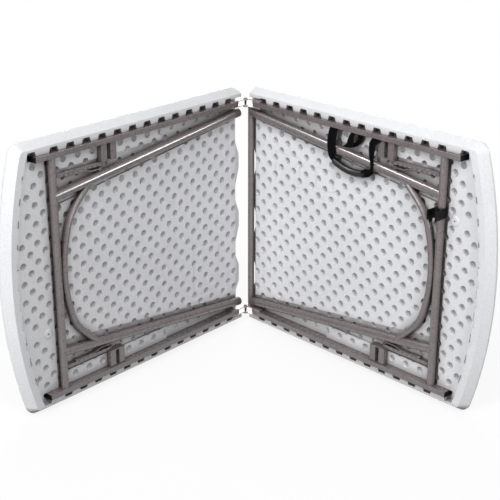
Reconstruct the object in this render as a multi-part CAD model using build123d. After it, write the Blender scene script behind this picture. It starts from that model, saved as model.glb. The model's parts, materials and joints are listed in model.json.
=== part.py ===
from build123d import *
import math
import os

os.makedirs("parts", exist_ok=True)

# Folding banquet table that folds in half at its middle, standing half open on
# its long edges. Millimetres, Z up. Each half is drawn flat first: X runs from
# the fold line to the outer end, Y across the table, Z out of the underside
# with zero at the fold axis. The right half is then stood up, and the left
# half is its mirror image.

# Table top
table_width = 762.0
half_length = 902.0
bow_radius = 1250.0
corner_radius = 30.0
top_z = -46.0
rim_z = -9.0
straight_wall = 11.0
rim_slant = 16.25
top_edge_round = 6.0
field_z = -23.0
channel_z = -30.5
rail_bed_z = -34.5
fold_corner_radius = 22.0
fold_corner_lean = 9.0
fold_corner_low_z = -33.0
overrun = 5.0
open_angle = 85.14

# Lips, pockets and slots around the underside
lip_width = 38.0
pocket_count = 13
pocket_first = 65.5
pocket_pitch = 54.92
pocket_length = 31.0
pocket_width = 13.5
pocket_end_run = 4.0
end_pocket_x = 797.0
pocket_floor_z = -33.0
slot_count = 11
slot_pitch = 56.5
slot_shift = 10.0
slot_length = 20.0
slot_width = 5.0
slot_floor_z = -18.0

# Cups moulded into the underside, in staggered rows
cup_first = 55.3
cup_pitch = 25.2
cup_row = 307.0
cup_row_pitch = 51.83
cup_mouth_diameter = 20.5
cup_floor_diameter = 12.0
cup_floor_z = -40.0
cup_side_land = 8.0
right_groove_cup_shift = 7.5

# Filling plug in the outer strip
plug_x = 771.0
plug_inset = 222.5
plug_hole_diameter = 5.5
plug_hole_depth = 10.0
plug_land = 26.0
plug_boss_diameter = 30.0
plug_boss_top_diameter = 22.0
plug_boss_rise = 2.5

# Blank frames lightly moulded into the underside: X and Y of two corners
frame_depth = 0.8
frame_line = 2.0
left_frames = ((98.0, 148.0, 210.0, 307.0),)
right_frames = ((106.0, 490.0, 205.0, 585.0), (271.0, 509.0, 344.0, 573.0))

# Interlocking edges at the fold
left_edge = 8.0
tongue_reach = 15.5
edge_gap = 1.0
tongue_side_gap = 1.0
slope_start = 8.5
slope_run = 13.5
tongue_round = 25.0
tongues = ((106.0, 129.0, 186.0, 220.0), (265.0, 316.0, 364.0, 402.0), (452.5, 505.0, 550.5, 589.5))

# Side rails
rail_inset = 36.5
rail_thickness = 14.5
rail_front_z = -1.0
rail_depth = 32.0
rail_wall = 1.5
rail_start = 30.0
rail_end = 790.0
rail_side_gap = 0.3
cap_flange = 3.0
cap_plug_length = 16.0
cap_play = 0.2
cap_edge_round = 1.2
bed_end_gap = 8.0
screw_head_diameter = 7.0
screw_head_rise = 1.0
screw_z = -18.0
screw_places = (117.0, 300.0, 473.0, 769.0)

# Hinge plates, pins and the middle bar
hinge_plate = 2.5
hinge_play = 0.5
hinge_eye_diameter = 14.0
hinge_reach = 30.0
hinge_strap_depth = 16.0
hinge_pin_diameter = 6.5
hinge_pin_play = 0.05
hinge_pin_head_diameter = 10.0
hinge_pin_head = 1.6
hinge_pocket_margin = 3.0
hinge_rivet_diameter = 6.0
hinge_rivet_rise = 1.4
hinge_rivet_shares = (0.35, 0.8)
middle_bar_x = 4.0
middle_bar_z = -20.0
middle_bar_diameter = 20.0
middle_bar_ear = 1.5

# Leg frame
pivot_x = 732.0
pivot_z = -14.0
cross_bar_diameter = 22.0
cross_bar_wall = 1.5
cross_bar_play = 0.05
cross_bar_end_gap = 0.5
groove_inner = 16.0
leg_diameter = 25.4
leg_wall = 1.4
foot_setback = 17.0
leg_inset_pivot = 158.0
leg_inset_foot = 74.0
foot_diameter = 25.8
foot_length = 24.0
foot_plug_length = 18.0
foot_plug_play = 0.1
channel_side_pivot = 31.0
channel_side_foot = 20.0
plateau_inset = 92.0
plateau_leg_gap = 6.0
arch_diameter = 19.0
arch_z = -13.0
arch_weld_gap = 0.3
arch_end_x = 604.0
arch_shoulder_x = 684.0
arch_shoulder_share = 0.2913
arch_crown_share = 0.4331
crown_bend_share = 0.97
shoulder_bend_share = 0.63

# Folding stays and their brackets
stay_pivot_x = 558.0
stay_z = -20.5
stay_pin_on_leg = 167.0
long_stay = 124.0
long_stay_tail = 34.0
long_stay_width = 10.0
stay_sheet = 1.5
short_stay = 117.0
stay_height = 12.0
stay_thickness = 3.0
stay_play = 0.5
joggle_start = 32.0
joggle_run = 25.0
joggle_step = 7.0
stay_pin_diameter = 6.0
stay_pin_play = 0.05
stay_head_diameter = 11.0
stay_head = 1.8
stay_lug_diameter = 11.0
bracket_plate_inset = 98.0
bracket_plate = 3.0
bracket_front_z = -6.0
bracket_back_z = -22.0
bracket_wall = 2.0
upright_starts = (515.0, 548.0)
upright_ends = (535.0, 568.0)

# Carrying handle on the right half
webbing = 1.6
strap_gap = 0.3
strap_width = 30.0
strap_drop = 98.0
strap_left_x = 340.0
strap_right_x = 488.0
anchor_depth = 18.0
anchor_width = 26.0
grip_diameter = 18.0
grip_z = -10.1
grip_left = 357.0
grip_right = 492.0
grip_drop = 88.0
grip_sag = 22.0
grip_leg_gap = 1.4
loop_x = 417.0
loop_width = 37.0
loop_drop = 48.0
loop_z = -6.0
loop_hole_diameter = 7.0

# Clip on the right cross bar that takes the left one when folded
clip_inset = 205.0
clip_length = 27.0
clip_wall = 2.6
clip_play = 0.3
jaw_play = 0.8
clip_end_gap = 1.0
clip_tab_length = 9.0
clip_tab_width = 12.0
clip_tab_thickness = 3.0

# Outline shares: across the webbing width, and down its drop
left_strap_shares = ((0, 0), (1, 0), (0.9, 0.38), (0.93, 0.7), (1.1, 0.84), (0.95, 1), (0.42, 1),
                     (0, 0.8), (-0.2, 0.38))
right_strap_shares = ((0, 0), (1, 0), (0.8, 0.15), (0.6, 0.46), (0.5, 0.74), (0.5, 1), (0, 1.02),
                      (-0.08, 0.92), (0.23, 0.74), (0.05, 0.48), (-0.02, 0.14))
loop_shares = ((0, 0), (1, 0), (0.95, 0.35), (0.55, 0.8), (-0.1, 1), (-0.75, 0.98), (-0.75, 0.9),
               (-0.35, 0.82), (-0.16, 0.32))
loop_hole_shares = (0.6, 0.42)
grip_side_shares = (0.18, 0.5, 0.82)
grip_sag_shares = (0.45, 0.95, 0.8)

middle_y = table_width / 2
rail_inner_inset = rail_inset + rail_thickness
rail_back_z = rail_front_z - rail_depth
wall_z = top_z + straight_wall
slant_angle = math.degrees(math.atan(rim_slant / (rim_z - wall_z)))
right_edge = left_edge - tongue_reach + edge_gap / 2
leg_length = pivot_x - foot_setback
plateau_leg_inset = plateau_inset + plateau_leg_gap + leg_diameter / 2
plateau_share = (leg_inset_pivot - plateau_leg_inset) / (leg_inset_pivot - leg_inset_foot)
plateau_start = pivot_x - leg_length * plateau_share
cross_bar_radius = cross_bar_diameter / 2
leg_radius = leg_diameter / 2


def block(x0, x1, y0, y1, z0, z1):
    corner = (Align.MIN, Align.MIN, Align.MIN)
    return Pos(x0, y0, z0) * Box(x1 - x0, y1 - y0, z1 - z0, align=corner)


def rod(start, end, diameter):
    axis = Vector(*end) - Vector(*start)
    centre = (Align.CENTER, Align.CENTER, Align.MIN)
    return Plane(origin=start, z_dir=axis) * Cylinder(diameter / 2, axis.length, align=centre)


def rod_y(x, z, y0, y1, diameter):
    return rod((x, y0, z), (x, y1, z), diameter)


def prism_z(points, z0, z1):
    line = Polyline(*[(x, y, z0) for x, y in points], close=True)
    return extrude(make_face(line), amount=z1 - z0, dir=(0, 0, 1))


def prism_y(points, y0, y1):
    line = Polyline(*[(x, y0, z) for x, z in points], close=True)
    return extrude(make_face(line), amount=y1 - y0, dir=(0, 1, 0))


def across(shape):
    # the same piece on the other long side of the table
    return mirror(shape, about=Plane.XZ.offset(-middle_y))


def bow_x(y, inset):
    drop = math.sqrt((bow_radius - inset) ** 2 - (y - middle_y) ** 2)
    return half_length - bow_radius + drop


def outline(inset, side_inset, back):
    # the plan of one half: straight sides and back, bowed outer end
    front = half_length
    plan = Pos((front - back) / 2, middle_y) * Rectangle(front + back, table_width - 2 * side_inset)
    plan = plan & Pos(half_length - bow_radius, middle_y) * Circle(bow_radius - inset)
    return plan


def leg_inset(x):
    share = (pivot_x - x) / leg_length
    return leg_inset_pivot + (leg_inset_foot - leg_inset_pivot) * share


# The edge at the fold, drawn as the area that a half covers
def fold_edge(left, edge, back):
    points = [(half_length + back, 0), (edge, 0)]
    turns = []
    for y0, y1, y2, y3 in tongues:
        if left:
            tip = left_edge - tongue_reach
            turns += [(edge, y0), (tip, y1), (tip, y2), (edge, y3)]
        else:
            gap = tongue_side_gap
            turns += [(edge, y0 - gap), (slope_start, y1 - gap), (slope_start, y2 + gap), (edge, y3 + gap)]
    points += turns + [(edge, table_width), (half_length + back, table_width)]
    plan = make_face(Polyline(*points, close=True))
    corners = [v for v in plan.vertices() if rail_inner_inset < v.Y < table_width - rail_inner_inset]
    return fillet(corners, tongue_round)


# Panel of one half, a moulded shell drawn as a solid slab with its underside
def make_panel(left):
    back = 2 * rim_slant + tongue_reach
    plan = outline(0, 0, back)
    ends = plan.vertices().sort_by(Axis.X)[-2:]
    plan = fillet(ends, corner_radius)
    slab = extrude(Pos(0, 0, top_z) * plan, amount=straight_wall)
    outer = slab.faces().sort_by(Axis.Z)[0].edges().filter_by(lambda e: e.center().X > 0)
    slab = fillet(outer, top_edge_round)
    rim = extrude(Pos(0, 0, wall_z) * plan, amount=rim_z - wall_z, taper=slant_angle)
    rim = rim & block(slope_start, half_length, 0, table_width, wall_z, 0)

    bed = rail_inset - rail_side_gap
    field = extrude(Pos(0, 0, field_z) * outline(lip_width, bed, back), amount=-field_z)
    rim = rim - field
    slope_end = slope_start + slope_run
    wedge = prism_y(((slope_start - overrun, wall_z), (slope_start, wall_z), (slope_end, field_z),
                     (slope_end, field_z + overrun), (slope_start - overrun, field_z + overrun)),
                    bed, table_width - bed)
    rim = rim - wedge

    # beds for the rails, the legs and the cross bar, and room for the hinges
    cuts = []
    bed_end = rail_end + cap_flange + bed_end_gap
    bed_inner = rail_inner_inset + rail_side_gap
    rail_bed = block(0, bed_end, bed, bed_inner, rail_bed_z, overrun)
    hinge_stack = 2 * hinge_plate + hinge_play + hinge_pin_head
    hinge_outer = rail_inset - hinge_stack - hinge_pocket_margin
    hinge_inner = rail_inner_inset + hinge_stack + hinge_pocket_margin
    hinge_end = rail_start + hinge_reach + hinge_pocket_margin
    hinge_bed = block(0, hinge_end, hinge_outer, hinge_inner, rail_bed_z, overrun)
    foot_x = pivot_x - leg_length
    leg_bed = prism_z(((0, rail_inset), (plateau_start, rail_inset), (plateau_start, plateau_inset),
                       (pivot_x, plateau_inset), (pivot_x, leg_inset_pivot + channel_side_pivot),
                       (foot_x, leg_inset_foot + channel_side_foot),
                       (0, leg_inset_foot + channel_side_foot)), channel_z, overrun)
    groove = block(pivot_x - groove_inner, pivot_x + groove_inner, rail_inset, middle_y, channel_z, overrun)
    for bed_cut in (rail_bed, hinge_bed, leg_bed, groove):
        cuts += [bed_cut, across(bed_cut)]

    # pockets beside the rails and slots along the outer lip
    places = [pocket_first + k * pocket_pitch for k in range(pocket_count)] + [end_pocket_x]
    for x in places:
        half = pocket_length / 2
        far = rail_inset - pocket_width
        pocket = prism_z(((x - half, rail_inset), (x - half + pocket_end_run, far),
                          (x + half - pocket_end_run, far), (x + half, rail_inset)), pocket_floor_z, overrun)
        cuts += [pocket, across(pocket)]
    for k in range(slot_count):
        y = middle_y + slot_shift + (k - (slot_count - 1) / 2) * slot_pitch
        turn = math.degrees(math.asin((y - middle_y) / bow_radius))
        slot = Box(2 * slot_width, slot_length, overrun - slot_floor_z)
        cuts.append(Pos(bow_x(y, lip_width), y, (overrun + slot_floor_z) / 2) * Rot(0, 0, turn) * slot)

    # cups, all of one shape, wherever the lattice stays clear of beds and lip
    plug_y = plug_inset if left else table_width - plug_inset
    mouth = cup_mouth_diameter / 2
    flare = (mouth - cup_floor_diameter / 2) / (field_z - cup_floor_z)
    height = field_z - cup_floor_z + overrun
    cup = Cone(cup_floor_diameter / 2, mouth + flare * overrun, height,
               align=(Align.CENTER, Align.CENTER, Align.MIN))
    columns = int((half_length - cup_first) / cup_pitch) + 1
    rows = int(table_width / cup_row_pitch) + 1
    for c in range(-1, columns):
        x = cup_first + c * cup_pitch
        if not left and abs(x - pivot_x) < groove_inner:
            x = x + right_groove_cup_shift
        for r in range(-rows, rows):
            y = cup_row + (r + (c % 2) / 2) * cup_row_pitch
            side = min(y, table_width - y)
            if side < rail_inner_inset + mouth or x + mouth > bow_x(y, lip_width + cup_side_land):
                continue
            if x < hinge_end + mouth and side < hinge_inner + mouth:
                continue
            if math.hypot(x - plug_x, y - plug_y) < plug_land:
                continue
            cuts.append(Pos(x, y, cup_floor_z) * cup)
    hole = Pos(plug_x, plug_y, field_z) * Cylinder(plug_hole_diameter / 2, 2 * plug_hole_depth)
    for x0, y0, x1, y1 in left_frames if left else right_frames:
        low = field_z - frame_depth
        plate = block(x0, x1, y0, y1, low, 0)
        cuts.append(plate - block(x0 + frame_line, x1 - frame_line, y0 + frame_line, y1 - frame_line, low, 0))

    # rounded corners at the fold, leaning in towards the top surface
    edge = left_edge if left else right_edge
    centre = (edge + fold_corner_radius, fold_corner_radius)
    corner = block(edge - fold_corner_radius, centre[0], -overrun, centre[1], top_z - overrun, overrun)
    lift = (Align.CENTER, Align.CENTER, Align.MIN)
    lean_height = fold_corner_low_z - top_z
    tight = fold_corner_radius - fold_corner_lean
    keep = Pos(*centre, top_z) * Cone(tight, fold_corner_radius, lean_height, align=lift)
    post = Cylinder(fold_corner_radius, 2 * overrun - fold_corner_low_z, align=lift)
    corner = corner - (keep + Pos(*centre, fold_corner_low_z) * post)
    cuts += [corner, across(corner)]
    rim = rim - cuts

    # sloping tongues on the left half, matching recesses in the right one
    edge_plan = fold_edge(left, edge, back)
    slab = slab & extrude(Pos(0, 0, top_z) * edge_plan, amount=straight_wall)
    boss = Cone(plug_boss_diameter / 2, plug_boss_top_diameter / 2, plug_boss_rise, align=lift)
    return ((slab + rim) - cuts) + Pos(plug_x, plug_y, field_z) * boss - hole


# Side rail: a rectangular tube in its bed, with holes for the cross bar
def make_rail():
    y0 = rail_inset
    y1 = rail_inner_inset
    tube = block(rail_start, rail_end, y0, y1, rail_back_z, rail_front_z)
    inner = block(rail_start - overrun, rail_end + overrun, y0 + rail_wall, y1 - rail_wall,
                  rail_back_z + rail_wall, rail_front_z - rail_wall)
    hole = rod_y(pivot_x, pivot_z, y1 - 2 * rail_wall, y1 + overrun, cross_bar_diameter + 2 * cross_bar_play)
    return tube - inner - hole


def make_cap():
    flange = block(rail_end, rail_end + cap_flange, rail_inset, rail_inner_inset, rail_back_z, rail_front_z)
    flange = fillet(flange.faces().sort_by(Axis.X)[-1].edges(), cap_edge_round)
    inset = rail_wall + cap_play
    plug = block(rail_end - cap_plug_length, rail_end, rail_inset + inset, rail_inner_inset - inset,
                 rail_back_z + inset, rail_front_z - inset)
    return flange + plug


def make_screws():
    heads = []
    face = rail_inner_inset
    for x in screw_places:
        heads.append(rod_y(x, screw_z, face, face + screw_head_rise, screw_head_diameter))
    return heads


# Hinge plates, each with an eye on the fold axis and a strap along the rail
def hinge_strap(y0, y1, outside, left):
    start_x = rail_start
    end_x = rail_start + hinge_reach
    low = rail_front_z - hinge_strap_depth
    eye = rod_y(0, 0, y0, y1, hinge_eye_diameter)
    half = hinge_eye_diameter / 2
    web = prism_y(((0, rail_front_z), (end_x, rail_front_z), (end_x, low), (start_x, low), (0, -half)),
                  y0, y1)
    plate = eye + web
    if not left and not outside:
        ear_radius = middle_bar_diameter / 2 + middle_bar_ear
        ear = rod_y(middle_bar_x, middle_bar_z, y0, y1, 2 * ear_radius)
        link = prism_y(((0, -half), (end_x, low), (middle_bar_x, middle_bar_z - ear_radius)), y0, y1)
        join = prism_y(((middle_bar_x - half, middle_bar_z), (middle_bar_x + half, middle_bar_z),
                        (half, 0), (-half, 0)), y0, y1)
        plate = plate + ear + link + join
    return plate - rod_y(0, 0, y0 - overrun, y1 + overrun, hinge_pin_diameter + 2 * hinge_pin_play)


def make_hinge(left):
    lift = 0 if left else hinge_plate + hinge_play
    outer_high = rail_inset - lift
    outer = hinge_strap(outer_high - hinge_plate, outer_high, True, left)
    inner_low = rail_inner_inset + lift
    inner = hinge_strap(inner_low, inner_low + hinge_plate, False, left)
    plates = [outer, inner]
    if not left:
        low = rail_front_z - hinge_strap_depth
        pads = ((outer_high, rail_inset), (rail_inner_inset, inner_low))
        for k, (y0, y1) in enumerate(pads):
            pad = block(rail_start + overrun, rail_start + hinge_reach, y0, y1, low, rail_front_z)
            plates[k] = plates[k] + pad
    return plates


def hinge_faces(left):
    lift = 0 if left else hinge_plate + hinge_play
    return rail_inset - lift - hinge_plate, rail_inner_inset + lift + hinge_plate


def make_hinge_rivets(left):
    outer, inner = hinge_faces(left)
    z = rail_front_z - hinge_strap_depth / 2
    rivets = []
    for share in hinge_rivet_shares:
        x = rail_start + share * hinge_reach
        rivets.append(rod_y(x, z, outer - hinge_rivet_rise, outer, hinge_rivet_diameter))
        rivets.append(rod_y(x, z, inner, inner + hinge_rivet_rise, hinge_rivet_diameter))
    return rivets


def make_hinge_pin():
    outer, inner = hinge_faces(False)
    low = outer - hinge_pin_play
    high = inner + hinge_pin_play
    shank = rod_y(0, 0, low, high, hinge_pin_diameter)
    head = rod_y(0, 0, low - hinge_pin_head, low, hinge_pin_head_diameter)
    foot = rod_y(0, 0, high, high + hinge_pin_head, hinge_pin_head_diameter)
    return shank + head + foot


def make_middle_bar():
    inner = hinge_faces(False)[1]
    return rod_y(middle_bar_x, middle_bar_z, inner, table_width - inner, middle_bar_diameter)


# Leg frame: cross bar, two legs, arch, feet and stay pins
def make_cross_bar():
    end = rail_inset + rail_wall + cross_bar_end_gap
    bar = rod_y(pivot_x, pivot_z, end, table_width - end, cross_bar_diameter)
    bore = rod_y(pivot_x, pivot_z, 0, table_width, cross_bar_diameter - 2 * cross_bar_wall)
    return bar - bore


def leg_ends():
    # the leg's axis, from the cross bar to the foot, with its unit direction
    top = Vector(pivot_x, leg_inset_pivot, pivot_z)
    tip = Vector(pivot_x - leg_length, leg_inset_foot, pivot_z)
    return top, tip, (tip - top).normalized()


def bar_cutter():
    return rod_y(pivot_x, pivot_z, 0, table_width, cross_bar_diameter)


def make_leg():
    top, tip, way = leg_ends()
    end = tip - way * foot_length
    tube = rod(top, end, leg_diameter)
    far = tip + way * foot_length
    bore = rod((top - way * leg_diameter), far, leg_diameter - 2 * leg_wall)
    low = pivot_z - leg_diameter
    beyond = block(pivot_x, pivot_x + leg_diameter, 0, table_width, low, pivot_z + leg_diameter)
    return tube - bore - bar_cutter() - beyond


def make_foot():
    top, tip, way = leg_ends()
    start = tip - way * foot_length
    cap = rod(start, tip, foot_diameter)
    deep = start - way * foot_plug_length
    plug = rod(deep, start, leg_diameter - 2 * leg_wall - 2 * foot_plug_play)
    return cap + plug


def bend_radius(before, corner, after, room):
    # radius of a bend that takes up the given room on each side of its corner
    first = math.atan2(corner[1] - before[1], corner[0] - before[0])
    second = math.atan2(after[1] - corner[1], after[0] - corner[0])
    return room / math.tan(abs(second - first) / 2)


def make_arch():
    crown_x = pivot_x - cross_bar_radius - arch_weld_gap - arch_diameter / 2
    end = (arch_end_x, leg_inset(arch_end_x))
    shoulder = (arch_shoulder_x, arch_shoulder_share * table_width)
    crown = (crown_x, arch_crown_share * table_width)
    beyond_crown = (crown_x, middle_y)
    crown_room = crown_bend_share * (middle_y - crown[1])
    room = min(math.dist(end, shoulder), math.dist(shoulder, crown) - crown_room)
    crown_radius = bend_radius(shoulder, crown, beyond_crown, crown_room)
    shoulder_radius = bend_radius(end, shoulder, crown, shoulder_bend_share * room)
    side = [end, shoulder, crown]
    route = side + [(x, table_width - y) for x, y in reversed(side)]
    radii = (shoulder_radius, crown_radius, crown_radius, shoulder_radius)
    line = FilletPolyline(*[(x, y, arch_z) for x, y in route], radius=radii)
    start = Plane(origin=line @ 0, z_dir=line % 0)
    tube = sweep(start * Circle(arch_diameter / 2), path=line)
    top, tip, way = leg_ends()
    leg = rod((top - way * leg_diameter), tip, leg_diameter)
    behind = prism_z(((arch_end_x - leg_diameter, 0), (pivot_x, 0), (pivot_x, leg_inset(pivot_x)),
                      (arch_end_x - leg_diameter, leg_inset(arch_end_x - leg_diameter))),
                     arch_z - leg_diameter, arch_z + leg_diameter)
    return tube - leg - across(leg) - behind - across(behind)


def stay_planes():
    # insets of the long stay, then the short one's outer and inner part
    long_in = bracket_plate_inset + bracket_plate + stay_play
    short_in = long_in + long_stay_width + stay_play
    return long_in, short_in, short_in + joggle_step


def pin_head(x, y0, y1):
    return rod_y(x, stay_z, y0, y1, stay_head_diameter)


def make_leg_pin():
    inner_in = stay_planes()[2]
    x = pivot_x - stay_pin_on_leg
    face = inner_in + stay_thickness + stay_play
    lug = rod_y(x, stay_z, face, leg_inset(x), stay_lug_diameter)
    start = inner_in - stay_play
    pin = rod_y(x, stay_z, start, face, stay_pin_diameter) + pin_head(x, start - stay_head, start)
    top, tip, way = leg_ends()
    return lug + pin - rod(top, tip, leg_diameter)


def make_bracket():
    uprights = []
    for x0, x1 in zip(upright_starts, upright_ends):
        channel = block(x0, x1, rail_inner_inset, bracket_plate_inset, bracket_back_z, bracket_front_z)
        hollow = block(x0 + bracket_wall, x1 - bracket_wall, rail_inner_inset, bracket_plate_inset,
                       bracket_back_z - overrun, bracket_front_z - bracket_wall)
        uprights.append(channel - hollow)
    face = bracket_plate_inset + bracket_plate
    plate = block(upright_starts[0], upright_ends[-1], bracket_plate_inset, face, stay_z - stay_height / 2,
                  bracket_front_z)
    end = stay_planes()[0] + long_stay_width + stay_play
    pin = rod_y(stay_pivot_x, stay_z, face, end, stay_pin_diameter)
    return uprights[0] + uprights[1] + plate + pin + pin_head(stay_pivot_x, end, end + stay_head)


def pin_bore(x, y0, y1):
    return rod_y(x, stay_z, y0 - overrun, y1 + overrun, stay_pin_diameter + 2 * stay_pin_play)


def make_long_stay():
    # a channel, open towards the panel, that runs on a little past the knee
    near = stay_planes()[0]
    far = near + long_stay_width
    knee = stay_pivot_x + long_stay
    low = stay_z - stay_height / 2
    high = stay_z + stay_height / 2
    end = knee + long_stay_tail
    body = block(stay_pivot_x, end, near, far, low, high)
    body = body + rod_y(stay_pivot_x, stay_z, near, far, stay_height)
    hollow = block(stay_pivot_x - stay_height, end + overrun, near + stay_sheet, far - stay_sheet,
                   low - overrun, high - stay_sheet)
    body = body - hollow - pin_bore(stay_pivot_x, near, far)
    return body + pin_head(knee, near - stay_head, near)


def make_short_stay():
    # a flat bar with a sideways step between the leg and the long stay
    outer, inner = stay_planes()[1:]
    pin = pivot_x - stay_pin_on_leg
    knee = pin + short_stay
    bend = pin + joggle_start
    bar = prism_z(((pin, inner), (bend, inner), (bend + joggle_run, outer), (knee, outer),
                   (knee, outer + stay_thickness), (bend + joggle_run, outer + stay_thickness),
                   (bend, inner + stay_thickness), (pin, inner + stay_thickness)),
                  stay_z - stay_height / 2, stay_z + stay_height / 2)
    bar = bar + rod_y(pin, stay_z, inner, inner + stay_thickness, stay_height)
    bar = bar + rod_y(knee, stay_z, outer, outer + stay_thickness, stay_height)
    bar = bar - pin_bore(pin, inner, inner + stay_thickness)
    face = outer + stay_thickness
    return bar + pin_head(knee, face, face + stay_head)


# Carrying handle: webbing straps, grip, fixed ends and a loose loop
handle_y = table_width - rail_inner_inset - webbing / 2 - strap_gap


def make_strap(x0, shares):
    points = [(x0 + a * strap_width, handle_y - b * strap_drop) for a, b in shares]
    return prism_z(points, -webbing / 2, webbing / 2)


def make_anchor(x0):
    high = -webbing / 2 - strap_gap
    wall = table_width - rail_inner_inset
    return block(x0, x0 + anchor_width, wall - webbing, wall, high - anchor_depth, high)


def make_grip():
    span = grip_right - grip_left
    ends = handle_y - grip_drop
    half = grip_diameter / 2
    right_leg = table_width - leg_inset(grip_right) - leg_radius - grip_leg_gap - half
    route = [(grip_left, ends, grip_z)]
    for along, down in zip(grip_side_shares, grip_sag_shares):
        route.append((grip_left + along * span, ends - down * grip_sag, grip_z))
    route.append((grip_right, min(ends - grip_sag / 2, right_leg), grip_z))
    line = Spline(*route)
    start = Plane(origin=line @ 0, z_dir=line % 0)
    return sweep(start * Circle(half), path=line)


def make_loop():
    wall = table_width - rail_inner_inset
    points = [(loop_x + a * loop_width, wall - b * loop_drop) for a, b in loop_shares]
    band = prism_z(points, loop_z, loop_z + webbing)
    across_share, down_share = loop_hole_shares
    hole = Pos(loop_x + across_share * loop_width, wall - down_share * loop_drop, loop_z)
    return band - hole * Cylinder(loop_hole_diameter / 2, 2 * overrun)


# Bar clip: a ring on the right cross bar and a jaw for the left one
def make_clip():
    clip_y = table_width - clip_inset
    y0 = clip_y - clip_length / 2
    y1 = clip_y + clip_length / 2
    bore = cross_bar_radius + clip_play
    ring = bore + clip_wall
    jaw = cross_bar_radius + jaw_play
    side = jaw + clip_wall
    mate_z = -pivot_z
    end_z = -channel_z - clip_end_gap
    body = block(pivot_x - side, pivot_x + side, y0, y1, pivot_z, end_z)
    body = body + rod_y(pivot_x, pivot_z, y0, y1, 2 * ring)
    tab = block(pivot_x - side, pivot_x - side + clip_tab_thickness, y0 - clip_tab_length, y0,
                mate_z - clip_tab_width / 2, mate_z + clip_tab_width / 2)
    body = body + tab
    body = body - rod_y(pivot_x, pivot_z, y0 - overrun, y1 + overrun, 2 * bore)
    body = body - rod_y(pivot_x, mate_z, y0 - overrun, y1 + overrun, 2 * jaw)
    return body - block(pivot_x - jaw, pivot_x + jaw, y0 - overrun, y1 + overrun, mate_z, end_z + overrun)


# Standing the halves up around the fold axis
lean = math.radians(open_angle / 2)
along_right = (math.sin(lean), -math.cos(lean), 0)
out_right = (-math.cos(lean), -math.sin(lean), 0)
stand = Plane(origin=(0, 0, 0), x_dir=along_right, z_dir=out_right).location


def solids_of(shape):
    if isinstance(shape, (list, tuple)):
        found = []
        for piece in shape:
            found += solids_of(piece)
        return found
    return list(shape.solids())


nodes = {}


def add(name, shape, left):
    placed = [stand * s for s in solids_of(shape)]
    if left:
        placed = [mirror(s, about=Plane.YZ) for s in placed]
    nodes[name] = placed


for left in (True, False):
    tag = "a" if left else "b"
    add("panel_" + tag, make_panel(left), left)
    rail = make_rail()
    add("rail_lower_" + tag, rail, left)
    add("rail_upper_" + tag, across(rail), left)
    cap = make_cap()
    add("rail_caps_" + tag, [cap, across(cap)], left)
    screws = make_screws()
    add("rail_screws_" + tag, screws + [across(s) for s in screws], left)
    plates = make_hinge(left)
    add("hinge_lower_" + tag, plates, left)
    add("hinge_upper_" + tag, [across(p) for p in plates], left)
    rivets = make_hinge_rivets(left)
    add("hinge_rivets_" + tag, rivets + [across(r) for r in rivets], left)
    bracket = make_bracket()
    add("stay_bracket_lower_" + tag, bracket, left)
    add("stay_bracket_upper_" + tag, across(bracket), left)
    add("cross_bar_" + tag, make_cross_bar(), left)
    leg = make_leg()
    add("leg_lower_" + tag, leg, left)
    add("leg_upper_" + tag, across(leg), left)
    add("leg_arch_" + tag, make_arch(), left)
    foot = make_foot()
    add("foot_caps_" + tag, [foot, across(foot)], left)
    pin = make_leg_pin()
    add("stay_pins_" + tag, [pin, across(pin)], left)
    long_link = make_long_stay()
    add("long_stay_lower_" + tag, long_link, left)
    add("long_stay_upper_" + tag, across(long_link), left)
    short_link = make_short_stay()
    add("short_stay_lower_" + tag, short_link, left)
    add("short_stay_upper_" + tag, across(short_link), left)

hinge_pin = make_hinge_pin()
add("hinge_pins", [hinge_pin, across(hinge_pin)], True)
add("middle_bar", make_middle_bar(), False)
add("handle_strap_left", make_strap(strap_left_x, left_strap_shares), False)
add("handle_strap_right", make_strap(strap_right_x, right_strap_shares), False)
add("strap_anchors", [make_anchor(strap_left_x), make_anchor(strap_right_x)], False)
add("handle_grip", make_grip(), False)
add("strap_loop", make_loop(), False)
add("bar_clip", make_clip(), False)

# The origin lies under the middle of the standing table
reach = Compound(nodes["panel_a"] + nodes["panel_b"]).bounding_box()
centre_y = (reach.min.Y + reach.max.Y) / 2
print("fold axis lies at y =", -centre_y)
for name, pieces in nodes.items():
    moved = [Pos(0, -centre_y, 0) * s for s in pieces]
    whole = moved[0] if len(moved) == 1 else Compound(children=moved)
    export_step(whole, os.path.join("parts", name + ".step"))
    print(name, len(moved), round(sum(s.volume for s in moved)))
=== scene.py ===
import json
import math

import bmesh
import bpy
from mathutils import Matrix, Vector


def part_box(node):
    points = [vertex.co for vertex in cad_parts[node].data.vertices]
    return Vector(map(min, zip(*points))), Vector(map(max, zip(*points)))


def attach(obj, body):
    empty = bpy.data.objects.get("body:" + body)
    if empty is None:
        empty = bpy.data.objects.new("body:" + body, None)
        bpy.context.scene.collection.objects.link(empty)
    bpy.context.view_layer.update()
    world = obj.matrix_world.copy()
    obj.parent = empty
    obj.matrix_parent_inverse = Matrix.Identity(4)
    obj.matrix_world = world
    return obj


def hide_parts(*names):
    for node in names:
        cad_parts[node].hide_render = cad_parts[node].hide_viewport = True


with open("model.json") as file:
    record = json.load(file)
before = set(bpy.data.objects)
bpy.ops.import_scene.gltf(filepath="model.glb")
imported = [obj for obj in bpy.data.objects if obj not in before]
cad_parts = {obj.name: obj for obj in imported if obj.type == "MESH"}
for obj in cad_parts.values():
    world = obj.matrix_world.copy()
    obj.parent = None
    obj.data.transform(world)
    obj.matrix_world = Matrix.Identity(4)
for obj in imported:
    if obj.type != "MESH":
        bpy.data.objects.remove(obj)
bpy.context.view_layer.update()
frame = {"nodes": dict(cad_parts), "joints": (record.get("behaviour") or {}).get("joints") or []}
nodes = frame["nodes"]
joints = {j["name"]: j for j in frame["joints"]}

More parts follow.
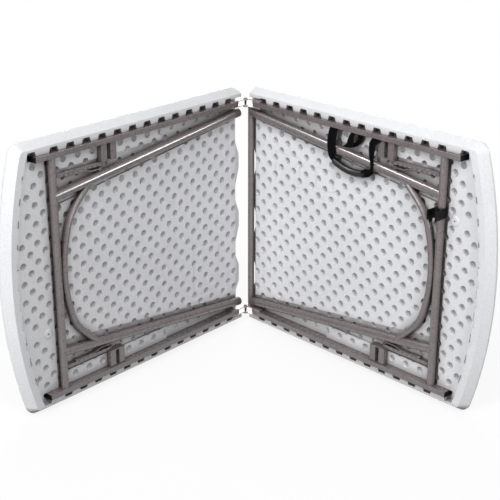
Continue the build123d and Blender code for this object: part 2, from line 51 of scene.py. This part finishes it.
# The fold axis, the way along each half from it, and the way out of the right half's underside
fold = Vector(joints["table_fold"]["pos_m"])
LEAN = math.radians(42.57)
ALONG = {
    "a": Vector((-math.sin(LEAN), -math.cos(LEAN), 0)),
    "b": Vector((math.sin(LEAN), -math.cos(LEAN), 0)),
}
OUT_B = Vector((-math.cos(LEAN), -math.sin(LEAN), 0))

# A half's width and length and the radius of its curved end, in metres
WIDTH = 0.762
HALF_LENGTH = 0.902
BOW = 1.25


def spot(u, w, n):
    """A point of the right half, in millimetres along, up and out, as a place in metres."""
    p = ALONG["b"] * (u / 1000) + OUT_B * (n / 1000)
    return Vector((fold.x + p.x, fold.y + p.y, w / 1000))


# ---------------------------------------------------------------- shading helpers
EDGE_SAMPLES = 6
HOLLOW_SAMPLES = 8

# The least openness that another is divided by, so that it is never nothing
LEAST_OPEN = 0.02


def material(name, colour, rough, **sockets):
    mat = bpy.data.materials.new(name)
    mat.use_nodes = True
    tree = mat.node_tree
    bsdf = tree.nodes["Principled BSDF"]
    bsdf.inputs["Base Color"].default_value = (*colour, 1)
    bsdf.inputs["Roughness"].default_value = rough
    for key, value in sockets.items():
        bsdf.inputs[key.replace("_", " ")].default_value = value
    return mat, tree, bsdf


def add(tree, kind, **values):
    node = tree.nodes.new(kind)
    for key, value in values.items():
        if key in node.inputs:
            node.inputs[key].default_value = value
        else:
            setattr(node, key, value)
    return node


def object_coords(tree):
    return add(tree, "ShaderNodeTexCoord").outputs["Object"]


def split(tree, vector):
    node = add(tree, "ShaderNodeSeparateXYZ")
    tree.links.new(vector, node.inputs[0])
    return node.outputs


def noise(tree, where, scale, detail=4.0, rough=0.55):
    node = add(tree, "ShaderNodeTexNoise", Scale=scale, Detail=detail, Roughness=rough)
    tree.links.new(where, node.inputs["Vector"])
    return node.outputs["Fac"]


def ramp(tree, source, stops):
    node = tree.nodes.new("ShaderNodeValToRGB")
    tree.links.new(source, node.inputs["Fac"])
    band = node.color_ramp
    while len(band.elements) < len(stops):
        band.elements.new(0.5)
    for element, (at, colour) in zip(band.elements, stops):
        element.position = at
        element.color = (*colour, 1) if not isinstance(colour, float) else (colour, colour, colour, 1)
    return node.outputs["Color"]


def between(tree, source, low, high, start=0.3, end=0.7):
    """One tone or value below the start of a band of the source and another above its end."""
    return ramp(tree, source, [(start, low), (end, high)])


def mix(tree, factor, first, second, kind="MIX"):
    node = add(tree, "ShaderNodeMix", data_type="RGBA", blend_type=kind)
    for socket, value in ((node.inputs[0], factor), (node.inputs[6], first), (node.inputs[7], second)):
        if isinstance(value, bpy.types.NodeSocket):
            tree.links.new(value, socket)
        else:
            socket.default_value = value if isinstance(value, float) else (*value, 1)
    return node.outputs[2]


def maths(tree, kind, first, second=0.0, clamp=False):
    node = add(tree, "ShaderNodeMath", operation=kind, use_clamp=clamp)
    for socket, value in ((node.inputs[0], first), (node.inputs[1], second)):
        if isinstance(value, bpy.types.NodeSocket):
            tree.links.new(value, socket)
        else:
            socket.default_value = value
    return node.outputs[0]


def times(tree, first, second):
    return maths(tree, "MULTIPLY", first, second)


def plus(tree, first, second):
    return maths(tree, "ADD", first, second)


def minus(tree, first, second):
    return maths(tree, "SUBTRACT", first, second)


def gap(tree, first, second):
    """How far two values lie apart."""
    return maths(tree, "ABSOLUTE", minus(tree, first, second))


def below(tree, value, limit):
    return maths(tree, "LESS_THAN", value, limit)


def phase(tree, value, pitch):
    """How far a value is through its pitch, from 0 to 1."""
    return maths(tree, "FRACT", maths(tree, "DIVIDE", value, pitch))


def surface(tree, bsdf, colour, rough):
    tree.links.new(colour, bsdf.inputs["Base Color"])
    tree.links.new(rough, bsdf.inputs["Roughness"])


def bump(tree, bsdf, height, strength, distance, soften=0.0):
    node = add(tree, "ShaderNodeBump", Strength=strength, Distance=distance)
    tree.links.new(height, node.inputs["Height"])
    if soften:
        edge = add(tree, "ShaderNodeBevel", samples=EDGE_SAMPLES)
        edge.inputs["Radius"].default_value = soften
        tree.links.new(edge.outputs["Normal"], node.inputs["Normal"])
    tree.links.new(node.outputs["Normal"], bsdf.inputs["Normal"])


def painted_shade(tree, reach, darkest, near):
    """Painted shade: a factor that darkens a hollow of the piece itself a little, and what lies close behind
    another piece more.
    """
    own = add(tree, "ShaderNodeAmbientOcclusion", samples=HOLLOW_SAMPLES, only_local=True)
    own.inputs["Distance"].default_value = reach
    both = add(tree, "ShaderNodeAmbientOcclusion", samples=HOLLOW_SAMPLES)
    both.inputs["Distance"].default_value = reach
    own_open = maths(tree, "MAXIMUM", own.outputs["AO"], LEAST_OPEN)
    share = maths(tree, "DIVIDE", both.outputs["AO"], own_open, True)
    level = plus(tree, times(tree, own.outputs["AO"], 1.0 - darkest), darkest)
    return times(tree, level, maths(tree, "POWER", share, near))


def along_half(tree, side):
    """How far a point lies from the fold axis along its half, in metres, from the mesh's own coordinates."""
    shift = add(tree, "ShaderNodeVectorMath", operation="SUBTRACT")
    tree.links.new(object_coords(tree), shift.inputs[0])
    shift.inputs[1].default_value = fold
    dot = add(tree, "ShaderNodeVectorMath", operation="DOT_PRODUCT")
    tree.links.new(shift.outputs[0], dot.inputs[0])
    dot.inputs[1].default_value = ALONG[side]
    return dot.outputs["Value"]


# ---------------------------------------------------------------- moulded top
TOP_SPECKS = [(0.36, (0.70, 0.705, 0.73)), (0.52, (0.795, 0.80, 0.82)), (0.7, (0.86, 0.865, 0.88))]
# Painted shade for the top's cups, pockets and grooves and what lies behind the rails, tinted brown like the
# rail's bounced light
PAINTED_SHADE_BROWN = (0.15, 0.122, 0.115)
# Painted shade inside the slits
SLIT_SHADE_GREY = (0.12, 0.12, 0.125)

# The slits' distance from the curved end, their pitch, their length as a share of it, their width, and how
# far the row goes from the half's middle
SLIT_INSET = 0.047
SLIT_PITCH = 0.065
SLIT_SHARE = 0.4
SLIT_WIDTH = 0.0036
SLIT_REACH = 0.3


def slits(tree):
    """A row of thin slits in the moulding beside the curved end of a half, alike on both halves, where their
    painted shade goes.

    It has no limit in depth, so it shows on the top surface as well as on the underside.
    """
    x, y, z = split(tree, object_coords(tree))
    across = times(tree, maths(tree, "ABSOLUTE", x), ALONG["b"].x)
    deep = times(tree, minus(tree, y, fold.y), ALONG["b"].y)
    run = plus(tree, plus(tree, across, deep), BOW - HALF_LENGTH)
    rise = minus(tree, z, WIDTH / 2)
    reach = maths(tree, "SQRT", plus(tree, times(tree, run, run), times(tree, rise, rise)))
    on_line = below(tree, gap(tree, reach, BOW - SLIT_INSET), SLIT_WIDTH / 2)
    in_slit = below(tree, gap(tree, phase(tree, z, SLIT_PITCH), 0.5), SLIT_SHARE / 2)
    in_row = below(tree, maths(tree, "ABSOLUTE", rise), SLIT_REACH)
    return times(tree, times(tree, in_slit, in_row), on_line)


def tabletop():
    mat, tree, bsdf = material("tabletop", (0.8, 0.8, 0.82), 0.5, Specular_IOR_Level=0.3)
    where = object_coords(tree)
    fine = noise(tree, where, 900.0, 3.0)
    specks = ramp(tree, noise(tree, where, 430.0, 2.0, 0.7), TOP_SPECKS)
    broad = between(tree, noise(tree, where, 5.0, 3.0), 0.94, 1.0)
    colour = mix(tree, 1.0, specks, broad, "MULTIPLY")
    # Painted shade in the top's hollows and close behind other pieces, going to brown
    colour = mix(tree, painted_shade(tree, reach=0.03, darkest=0.74, near=1.6), PAINTED_SHADE_BROWN, colour)
    # The slits painted dark, as the shade inside them
    colour = mix(tree, times(tree, slits(tree), 0.75), colour, SLIT_SHADE_GREY)
    surface(tree, bsdf, colour, between(tree, fine, 0.44, 0.6))
    bump(tree, bsdf, fine, strength=0.35, distance=0.0003, soften=0.0012)
    return mat


# ---------------------------------------------------------------- metal
PAINT_TONES = ((0.138, 0.114, 0.116), (0.170, 0.140, 0.142))
PAINT_SCUFF = (0.30, 0.27, 0.26)
ZINC_TONES = ((0.36, 0.29, 0.285), (0.55, 0.47, 0.46))

# The softening of the paint's square edges, and the dashes pressed into a long stay, with a painted highlight
# on each dash and painted shade in a band along them
PAINT_SOFT = 0.0022
DASH_INSET = 0.0022
DASH_PITCH = 0.0165
DASH_WIDTH = 0.0028
DASH_GROOVE_WIDTH = 0.0046
DASH_SHADE = (0.05, 0.043, 0.04)
DASH_HIGHLIGHT = (0.33, 0.29, 0.27)


def painted_steel(name, soften, dashes=None):
    """Brown-grey powder coat, with edges softened on what is square and painted shade in its hollows. A long
    stay also has pressed dashes, with a painted highlight on them and painted shade beside them.
    """
    mat, tree, bsdf = material(name, (0.2, 0.165, 0.163), 0.3, Specular_IOR_Level=0.55, Coat_Weight=0.8,
                               Coat_Roughness=0.14)
    where = object_coords(tree)
    tone = between(tree, noise(tree, where, 22.0, 4.0), *PAINT_TONES)
    scuff = between(tree, noise(tree, where, 60.0, 8.0, 0.75), 0.0, 1.0, 0.66, 0.8)
    colour = mix(tree, times(tree, scuff, 0.25), tone, PAINT_SCUFF)
    # Painted shade in the paint's hollows and close behind other pieces
    colour = mix(tree, 1.0, colour, painted_shade(tree, reach=0.012, darkest=0.6, near=0.6), "MULTIPLY")
    height = noise(tree, where, 1400.0, 2.0)
    strength, lift = 0.1, 0.00004
    if dashes:
        side, edge = dashes
        off = gap(tree, split(tree, where)["Z"], edge)
        turn = gap(tree, phase(tree, along_half(tree, side), DASH_PITCH), 0.5)
        dash = times(tree, between(tree, turn, 1.0, 0.0, 0.27, 0.33), below(tree, off, DASH_WIDTH / 2))
        # Painted shade in a band along the dashes, and a painted highlight on each dash
        groove_shade = times(tree, below(tree, off, DASH_GROOVE_WIDTH / 2), 0.6)
        colour = mix(tree, groove_shade, colour, DASH_SHADE)
        colour = mix(tree, times(tree, dash, 0.8), colour, DASH_HIGHLIGHT)
        height = plus(tree, times(tree, height, 0.2), dash)
        strength, lift = 0.6, 0.0008
    surface(tree, bsdf, colour, between(tree, noise(tree, where, 90.0, 4.0), 0.24, 0.34))
    bump(tree, bsdf, height, strength, lift, soften)
    return mat


def zinc():
    mat, tree, bsdf = material("zinc_plate", (0.5, 0.42, 0.41), 0.4, Metallic=0.7)
    where = object_coords(tree)
    tone = between(tree, noise(tree, where, 70.0, 5.0, 0.7), *ZINC_TONES)
    # Painted shade in the plate's hollows and close behind other pieces
    tone = mix(tree, 1.0, tone, painted_shade(tree, reach=0.008, darkest=0.2, near=1.0), "MULTIPLY")
    surface(tree, bsdf, tone, between(tree, noise(tree, where, 240.0, 4.0), 0.32, 0.52))
    bump(tree, bsdf, noise(tree, where, 900.0, 2.0), strength=0.15, distance=0.0001, soften=0.0006)
    return mat


# ---------------------------------------------------------------- plastic and webbing
# The weave's own pattern, with its raised threads lighter as a painted sheen
WEB_WEAVE_AND_SHEEN = ((0.001, 0.001, 0.001), (0.006, 0.006, 0.007))
WEB_FUZZ = (0.006, 0.006, 0.0065)
WEB_STITCH = (0.02, 0.02, 0.022)

# In radians: the threads' wave over a strap's width, the ribs' over a unit of its map's length, and how far a
# thread shifts a rib. Then the stitches to a unit
THREAD_WAVE = 90.0
RIB_WAVE = 105.0
RIB_SHIFT = 1.2
STITCHES = 11.0

# Where the sewn line lies from the strap's middle, with its edge at 0.5, and a stitch's part of its pitch
SEWN_LINE = [(0.385, 0.0), (0.4, 1.0), (0.42, 1.0), (0.435, 0.0)]
STITCH = [(0.1, 0.0), (0.2, 1.0), (0.8, 1.0), (0.9, 0.0)]


def moulding(name, colour, rough, shine=0.3, soften=0.0007):
    mat, tree, bsdf = material(name, colour, rough, Specular_IOR_Level=shine)
    where = object_coords(tree)
    dim, lit = (tuple(share * c for c in colour) for share in (0.75, 1.4))
    tone = between(tree, noise(tree, where, 120.0, 5.0), dim, lit, 0.3, 0.75)
    surface(tree, bsdf, tone, between(tree, noise(tree, where, 300.0, 4.0), rough - 0.06, rough + 0.08))
    bump(tree, bsdf, noise(tree, where, 1500.0, 2.0), strength=0.25, distance=0.00015, soften=soften)
    return mat


def webbing():
    """Black woven strap from its own map: ribs across, threads along, a sewn line beside each edge."""
    mat, tree, bsdf = material("webbing", (0.004, 0.004, 0.0045), 0.85, Specular_IOR_Level=0.03)
    across, length, _ = split(tree, add(tree, "ShaderNodeTexCoord").outputs["UV"])
    thread = maths(tree, "SINE", times(tree, across, THREAD_WAVE))
    rib = maths(tree, "SINE", plus(tree, times(tree, length, RIB_WAVE), times(tree, thread, RIB_SHIFT)))
    weave = plus(tree, times(tree, times(tree, thread, rib), 0.35), times(tree, rib, 0.15))
    line = ramp(tree, gap(tree, across, 0.5), SEWN_LINE)
    stitch = ramp(tree, maths(tree, "FRACT", times(tree, length, STITCHES)), STITCH)
    sewn = times(tree, line, stitch)
    # The weave pattern in the colour, lighter where the threads rise, as a painted sheen
    tone = between(tree, plus(tree, weave, 0.5), *WEB_WEAVE_AND_SHEEN, 0.0, 1.0)
    tone = mix(tree, times(tree, sewn, 0.8), tone, WEB_STITCH)
    fuzz = noise(tree, object_coords(tree), 700.0, 3.0)
    surface(tree, bsdf, mix(tree, times(tree, fuzz, 0.3), tone, WEB_FUZZ), between(tree, fuzz, 0.75, 0.95))
    bump(tree, bsdf, plus(tree, weave, times(tree, sewn, 0.8)), strength=0.7, distance=0.0005)
    return mat


# ---------------------------------------------------------------- the nodes' materials
def stay_paint(name):
    """The paint of a long stay, with its dashes beside the edge that faces the table's middle."""
    low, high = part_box(name)
    edge = low[2] + DASH_INSET if "upper" in name else high[2] - DASH_INSET
    return painted_steel(name + "_paint", PAINT_SOFT, (name[-1], edge))


TABLETOP = tabletop()
PAINT = painted_steel("frame_paint", PAINT_SOFT)
TUBE_PAINT = painted_steel("tube_paint", 0.0)
STAY_PAINT = {name: stay_paint(name) for name in nodes if name.startswith("long_stay")}
ZINC = zinc()
PIN = moulding("hinge_pin_steel", (0.035, 0.028, 0.027), 0.4)
PLASTIC = moulding("black_plastic", (0.004, 0.004, 0.0045), 0.4, 0.12)
FOOT = moulding("foot_plug", (0.105, 0.085, 0.083), 0.45)
RUBBER = moulding("grip_rubber", (0.006, 0.006, 0.0055), 0.4, 0.5, 0.0)
WEBBING = webbing()

# A node takes the first material here that has a start of its name. A long stay has its own paint
FINISHES = [
    (("panel",), TABLETOP),
    (("rail_caps", "bar_clip"), PLASTIC),
    (("foot_caps",), FOOT),
    (("handle_grip",), RUBBER),
    (("handle_strap", "strap"), WEBBING),
    (("hinge_pins",), PIN),
    (("cross_bar", "leg_", "middle_bar"), TUBE_PAINT),
    (("hinge", "rail_screws"), ZINC),
    (("",), PAINT),
]


for name, obj in nodes.items():
    mat = STAY_PAINT.get(name) or next(mat for starts, mat in FINISHES if name.startswith(starts))
    if obj.data.materials:
        for k in range(len(obj.data.materials)):
            obj.data.materials[k] = mat
    else:
        obj.data.materials.append(mat)


# ---------------------------------------------------------------- strap and sleeve meshes
STRAP = 0.0016
STRAP_COLUMNS = 10
STRAP_FULL_WIDTH = 0.026
GATHER_MOST = 1.6
EDGE_THINNING = 0.6
MAP_UNIT = 0.03
SLEEVE_MAP_WIDTH = 2.0


def through(points, steps):
    """Points on a smooth line through the given ones."""
    ends = [2 * points[0] - points[1]] + list(points) + [2 * points[-1] - points[-2]]
    line = []
    for k in range(1, len(ends) - 2):
        a, b, c, d = ends[k - 1:k + 3]
        for i in range(steps):
            t = i / steps
            line.append(0.5 * (2 * b + (c - a) * t + (2 * a - 5 * b + 4 * c - d) * t * t
                               + (3 * b - a - 3 * c + d) * t * t * t))
    return line + [ends[-2]]


def direction(line, k):
    return line[min(k + 1, len(line) - 1)] - line[max(k - 1, 0)]


def piece(name, bm, mat, body, slot, *nodes_shown):
    mesh = bpy.data.meshes.new(name)
    bmesh.ops.recalc_face_normals(bm, faces=bm.faces)
    bm.to_mesh(mesh)
    bm.free()
    for face in mesh.polygons:
        face.use_smooth = True
    mesh.materials.append(mat)
    obj = bpy.data.objects.new(name, mesh)
    bpy.context.scene.collection.objects.link(obj)
    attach(obj, body)
    if nodes_shown:
        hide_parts(*nodes_shown)


def ribbon(bm, rows, steps=7, crown=0.0002):
    """A flat strap with its own map, through rows of (left, right) edge points, thicker where gathered."""
    layer = bm.loops.layers.uv.verify()
    left = through([spot(*a) for a, b in rows], steps)
    right = through([spot(*b) for a, b in rows], steps)
    middle = [(a + b) / 2 for a, b in zip(left, right)]
    run = [0.0]
    for a, b in zip(middle, middle[1:]):
        run.append(run[-1] + (b - a).length / MAP_UNIT)
    rings = []
    for k, (a, b) in enumerate(zip(left, right)):
        face = (b - a).cross(direction(middle, k)).normalized()
        half = STRAP / 2 * min(max(STRAP_FULL_WIDTH / (b - a).length, 1.0), GATHER_MOST)
        ring = []
        for turn in (1, -1):
            for i in range(STRAP_COLUMNS + 1):
                t = i / STRAP_COLUMNS if turn == 1 else 1 - i / STRAP_COLUMNS
                full = 1 - (2 * t - 1) ** 8 * EDGE_THINNING
                ring.append((a.lerp(b, t) + face * (crown * math.sin(math.pi * t) + turn * half * full), t))
        rings.append([(bm.verts.new(p), t) for p, t in ring])
    count = len(rings[0])
    for k in range(len(rings) - 1):
        for i in range(count):
            j = (i + 1) % count
            corners = [(rings[k][i], run[k]), (rings[k][j], run[k]), (rings[k + 1][j], run[k + 1]),
                       (rings[k + 1][i], run[k + 1])]
            face = bm.faces.new([c[0][0] for c in corners])
            for loop, (edge, y) in zip(face.loops, corners):
                loop[layer].uv = (edge[1], y)
    bm.faces.new([v for v, t in rings[0]])
    bm.faces.new([v for v, t in rings[-1]])


def sleeve(bm, centres, radii, sides=28, flat=1.0, rumple=0.0, steps=8):
    """A tube along a smooth line, closed at both ends, with its radius in millimetres at each centre."""
    layer = bm.loops.layers.uv.verify()
    line = through([spot(*c) for c in centres], steps)
    sizes = through([Vector((r / 1000, 0, 0)) for r in radii], steps)
    rings = []
    run = 0.0
    for k, (p, r) in enumerate(zip(line, sizes)):
        ahead = direction(line, k).normalized()
        if k:
            run += (p - line[k - 1]).length / MAP_UNIT
        high = (OUT_B - ahead * OUT_B.dot(ahead)).normalized()
        wide = ahead.cross(high)
        ring = []
        for i in range(sides):
            turn = 2 * math.pi * i / sides
            size = r.x + rumple * math.sin(3 * turn + 9 * run) * math.sin(17 * run + 2 * turn)
            place = p + wide * (size * math.cos(turn)) + high * (size * flat * math.sin(turn))
            ring.append(bm.verts.new(place))
        rings.append((ring, run))
    for (one, a), (two, b) in zip(rings, rings[1:]):
        for i in range(sides):
            j = (i + 1) % sides
            face = bm.faces.new((one[i], one[j], two[j], two[i]))
            for loop, uv in zip(face.loops, ((i, a), (i + 1, a), (i + 1, b), (i, b))):
                loop[layer].uv = (uv[0] / sides * SLEEVE_MAP_WIDTH, uv[1])
    bm.faces.new(rings[0][0])
    bm.faces.new(rings[-1][0])


# ---------------------------------------------------------------- handle, straps and loop
# Places on the right half, in millimetres along it from the fold axis, up, and out of the underside.
# A strap is a list of the places of its left and right edges.
LEFT_STRAP = [
    ((342, 710.4, 0), (373, 710.4, 0)),
    ((337, 692, 0), (368.5, 695, 0)),
    ((334, 672, 0), (366, 679, 0)),
    ((335, 650, 0), (366, 658, 0)),
    ((338, 632, 0), (367, 638, 0)),
    ((342, 618, -5), (364, 629, -2)),
    ((351, 609, -10), (364, 619, -8)),
]
RIGHT_STRAP = [
    ((497, 710.4, 0), (528, 710, 0)),
    ((488, 696, 0), (513, 696, 0)),
    ((487, 679, 0), (509, 682, 0)),
    ((488.5, 662, 0), (506.5, 666, 0)),
    ((494.5, 636, 0), (505, 638, 0)),
    ((493, 621, 0), (504, 622, 0)),
    ((484, 608, -5), (498, 614, -3)),
    ((476, 602, -10), (488, 607, -9)),
]
LOOSE_LOOP = [
    ((418, 710.5, -6), (434, 710.5, -5)),
    ((412, 700, -3.5), (431, 700, -2)),
    ((408, 688, -2), (430, 686, -2)),
    ((402, 675, -3), (430, 673, -3)),
    ((386, 663.5, -5), (419, 666, -6)),
    ((402, 669, -12), (433, 672, -13)),
    ((426, 682, -15), (447, 684, -14)),
    ((436, 698, -14), (454, 697, -12)),
    ((438, 710.5, -12), (455, 710.5, -9)),
]

# The handle straps' two ends go in under the rail. Rows of the left and right edge from a start, up, and out
STRAP_END_STARTS = (341.0, 498.0)
STRAP_END = [(0, 31, 710.6, -0.3), (0, 31, 710.6, -1.5), (0, 30, 710.2, -8), (1, 29, 710.2, -18)]

GRIP_DEPTH = -10.1
GRIP_LINE = [(352, 616), (360, 611), (370, 606.7), (392.5, 599.7), (415, 595.9), (437.5, 595.7), (459, 599.2),
             (470, 602.6)]
GRIP_RADII = [8.6, 9.9, 10.0, 10.0, 10.0, 10.0, 10.0, 9.6]
CUFF_LINE = [(457, 598.8, -10.1), (462, 600.2, -10.1), (471, 603.5, -10.1), (480, 606.5, -9.6),
             (488, 609, -7.5), (496, 614, -3.5)]
CUFF_RADII = [10.2, 11.0, 11.3, 10.6, 8.5, 5.0]

bm = bmesh.new()
ribbon(bm, LEFT_STRAP)
piece("strap_left", bm, WEBBING, "handle", "webbing", "handle_strap_left")

bm = bmesh.new()
ribbon(bm, RIGHT_STRAP)
piece("strap_right", bm, WEBBING, "handle", "webbing", "handle_strap_right")

bm = bmesh.new()
sleeve(bm, [(u, w, GRIP_DEPTH) for u, w in GRIP_LINE], GRIP_RADII, sides=48)
piece("grip_tube", bm, RUBBER, "handle", "black_rubber", "handle_grip")

bm = bmesh.new()
sleeve(bm, CUFF_LINE, CUFF_RADII, sides=40, flat=0.85, rumple=0.0008)
piece("grip_cuff", bm, WEBBING, "handle", "webbing")

bm = bmesh.new()
for start in STRAP_END_STARTS:
    rows = [((start + left, w, n), (start + right, w, n)) for left, right, w, n in STRAP_END]
    ribbon(bm, rows, steps=4, crown=0.0)
piece("strap_ends", bm, WEBBING, "half_b", "webbing", "strap_anchors")

bm = bmesh.new()
ribbon(bm, LOOSE_LOOP)
piece("strap_loose_loop", bm, WEBBING, "half_b", "webbing", "strap_loop")

# ---------------------------------------------------------------- floor and background
FLOOR_REACH = 9
FLOOR_GREY = (0.25, 0.25, 0.25)
FLOOR_WHITE = (0.95, 0.95, 0.95)
FLOOR_FADE = 3.0
WORLD_LIGHT = 0.3
WHITE = (1, 1, 1, 1)


def seen_direct(tree):
    """1 for rays from the camera, from gloss or through glass, and 0 for light that only spreads."""
    rays = add(tree, "ShaderNodeLightPath").outputs
    clear = maths(tree, "MAXIMUM", rays["Is Glossy Ray"], rays["Is Transmission Ray"])
    return maths(tree, "MAXIMUM", rays["Is Camera Ray"], clear)


floor_mesh = bpy.data.meshes.new("floor")
corners = [(x * FLOOR_REACH, y * FLOOR_REACH, 0) for x, y in ((-1, -1), (1, -1), (1, 1), (-1, 1))]
floor_mesh.from_pydata(corners, [], [(0, 1, 2, 3)])
floor = bpy.data.objects.new("floor", floor_mesh)
bpy.context.scene.collection.objects.link(floor)
floor_mat, tree, bsdf = material("floor", (0.9, 0.9, 0.9), 0.9)
tree.nodes.remove(bsdf)
direct = seen_direct(tree)
diffuse = tree.nodes.new("ShaderNodeBsdfDiffuse")
tree.links.new(mix(tree, direct, FLOOR_GREY, FLOOR_WHITE), diffuse.inputs["Color"])
glow = add(tree, "ShaderNodeEmission", Color=WHITE, Strength=1.0)
# The shadow shows near the table, and farther out the floor is plain white
spread = add(tree, "ShaderNodeVectorMath", operation="LENGTH")
tree.links.new(object_coords(tree), spread.inputs[0])
far = between(tree, maths(tree, "DIVIDE", spread.outputs["Value"], FLOOR_FADE), 0.86, 1.0, 0.25, 0.6)
blend = add(tree, "ShaderNodeMixShader")
tree.links.new(times(tree, direct, far), blend.inputs[0])
tree.links.new(diffuse.outputs[0], blend.inputs[1])
tree.links.new(glow.outputs[0], blend.inputs[2])
tree.links.new(blend.outputs[0], tree.nodes["Material Output"].inputs["Surface"])
floor_mesh.materials.append(floor_mat)

world = bpy.data.worlds.new("studio")
bpy.context.scene.world = world
world.use_nodes = True
tree = world.node_tree
fill = tree.nodes["Background"]
fill.inputs["Color"].default_value = WHITE
fill.inputs["Strength"].default_value = WORLD_LIGHT
plain = add(tree, "ShaderNodeBackground", Color=WHITE, Strength=1.0)
join = add(tree, "ShaderNodeMixShader")
tree.links.new(seen_direct(tree), join.inputs[0])
tree.links.new(fill.outputs[0], join.inputs[1])
tree.links.new(plain.outputs[0], join.inputs[2])
tree.links.new(join.outputs[0], tree.nodes["World Output"].inputs["Surface"])


# ---------------------------------------------------------------- lamps
def softbox(name, place, aim, size, power, gloss_only=False):
    lamp = bpy.data.lights.new(name, "AREA")
    lamp.shape = "RECTANGLE"
    lamp.size, lamp.size_y = size
    lamp.energy = power
    obj = bpy.data.objects.new(name, lamp)
    bpy.context.scene.collection.objects.link(obj)
    obj.location = place
    obj.rotation_euler = (Vector(aim) - Vector(place)).to_track_quat("-Z", "Y").to_euler()
    obj.visible_camera = False
    obj.visible_diffuse = not gloss_only


# The gloss-only ones add shine and no other light, for the long streaks on the legs
softbox("left_box", (-3.9, -4.4, 2.7), (0.2, 0.1, 0.4), (0.8, 3.4), 182)
softbox("right_box", (2.1, -4.2, 2.0), (-0.2, 0.1, 0.4), (0.5, 2.4), 60)
softbox("right_strip", (2.3, -0.18, 1.45), (-0.3, -0.03, 0.64), (0.95, 1.0), 56, gloss_only=True)
softbox("left_low", (-1.7, -1.35, 0.17), (0.0, 0.0, 0.4), (0.07, 0.3), 3.2)
softbox("right_low", (1.7, -1.45, 0.17), (0.0, 0.0, 0.4), (0.07, 0.3), 2.8)
softbox("top_left", (-1.1, 0.55, 3.0), (0.3, 0.0, 0.5), (1.6, 0.5), 62, gloss_only=True)
softbox("top_box", (-0.3, -1.6, 3.0), (0, 0.1, 0.4), (1.5, 1.1), 32)
softbox("back_box", (0.2, 5.0, 1.9), (0, 0, 0.4), (2.5, 2.0), 140)

# ---------------------------------------------------------------- camera
LENS_MM = 85.27
CAMERA_FROM_FOLD = (-0.05008, -3.44164)
CAMERA_HEIGHT = 1.59988
CAMERA_LOOK = (0.01732466, 0.93035811, -0.36624261)
CAMERA_RIGHT = (0.99983369, -0.01820711, 0.00104479)

lens = bpy.data.cameras.new("camera")
lens.sensor_width = 36.0
lens.lens = LENS_MM
lens.clip_end = 60
camera = bpy.data.objects.new("camera", lens)
bpy.context.scene.collection.objects.link(camera)
look = Vector(CAMERA_LOOK).normalized()
right = Vector(CAMERA_RIGHT)
right = (right - look * right.dot(look)).normalized()
up = right.cross(look)
turn = Matrix((right, up, -look)).transposed().to_4x4()
place = (fold.x + CAMERA_FROM_FOLD[0], fold.y + CAMERA_FROM_FOLD[1], CAMERA_HEIGHT)
camera.matrix_world = Matrix.Translation(place) @ turn
bpy.context.scene.camera = camera

bpy.context.scene.view_settings.view_transform = "Standard"
